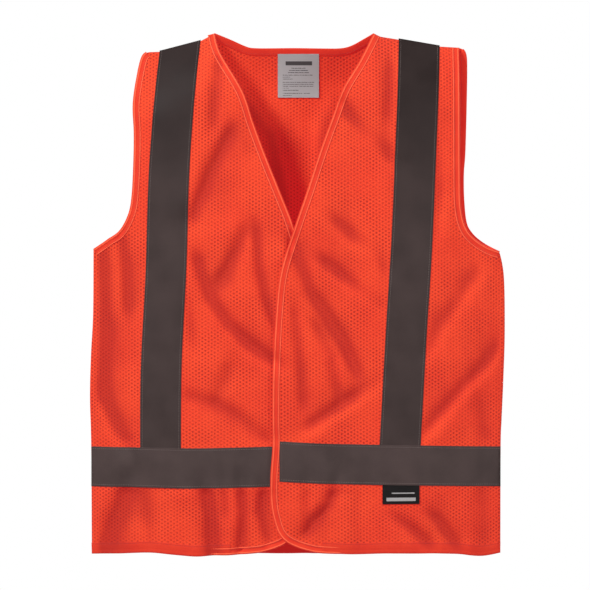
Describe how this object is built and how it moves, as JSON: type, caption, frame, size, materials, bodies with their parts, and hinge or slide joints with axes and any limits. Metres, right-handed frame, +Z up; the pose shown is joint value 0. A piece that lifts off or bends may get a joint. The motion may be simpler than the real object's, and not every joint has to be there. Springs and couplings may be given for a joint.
{
  "type": "high visibility safety vest",
  "caption": "Sleeveless mesh safety vest with a V neck, overlapping hook-and-loop front, reflective shoulder and waist tapes and bound edges.",
  "frame": {"origin": "midway between the two neck points on the shoulder ridge, where a hanger's hook leaves the collar", "axes": "+Z up from hem to neck, -Y out of the vest's front, +X to the wearer's left"},
  "size_m": [0.5216, 0.0902, 0.6627],
  "materials": {
    "mesh_fabric": "fluorescent orange-red knitted polyester mesh, soft sheen",
    "binding_tape": "folded knit binding, matte with a stitched ridge",
    "reflective_tape": "dark grey retroreflective glass-bead cloth tape, satin",
    "hook_and_loop": "woven hook and loop pile",
    "care_label_satin": "pale grey printed satin label",
    "woven_tab": "black woven label"
  },
  "bodies": {
    "vest_body": {"back_panel": "mesh_fabric", "left_front_side_panel": "mesh_fabric", "right_front_side_panel": "mesh_fabric", "left_shoulder_tape": "reflective_tape", "right_shoulder_tape": "reflective_tape", "back_waist_tape": "reflective_tape", "left_side_waist_tape": "reflective_tape", "right_side_waist_tape": "reflective_tape", "back_neck_binding": "binding_tape", "left_armhole_binding": "binding_tape", "right_armhole_binding": "binding_tape", "hem_binding": "binding_tape"},
    "left_front": {"left_front_flap_panel": "mesh_fabric", "left_front_edge_binding": "binding_tape", "left_flap_waist_tape": "reflective_tape", "upper_hook_strip": "hook_and_loop", "lower_hook_patch": "hook_and_loop"},
    "right_front": {"right_front_flap_panel": "mesh_fabric", "right_front_edge_binding": "binding_tape", "right_flap_waist_tape": "reflective_tape", "upper_loop_strip": "hook_and_loop", "lower_loop_patch": "hook_and_loop"},
    "care_label": {"care_label": "care_label_satin"},
    "maker_tab": {"maker_tab": "woven_tab"}
  },
  "joints": [
    {"name": "left_front_fold", "type": "hinge", "parent": "vest_body", "child": "left_front", "pos_m": [0.098, -0.04865, -0.33], "axis": [0, 0, 1], "range_deg": [0, 160]},
    {"name": "right_front_fold", "type": "hinge", "parent": "vest_body", "child": "right_front", "pos_m": [-0.098, -0.04865, -0.33], "axis": [0, 0, -1], "range_deg": [0, 80]},
    {"name": "care_label_flip", "type": "hinge", "parent": "vest_body", "child": "care_label", "pos_m": [0.005, 0.01705, -0.0278], "axis": [-1, 0, 0], "range_deg": [0, 120]},
    {"name": "maker_tab_flip", "type": "hinge", "parent": "vest_body", "child": "maker_tab", "pos_m": [0.1345, -0.0448, -0.5761], "axis": [-0.9886, -0.1503, 0], "range_deg": [0, 175]}
  ],
  "couplings": [
    {"joint": "right_front_fold", "follows": "left_front_fold", "ratio": 0.5}
  ]
}
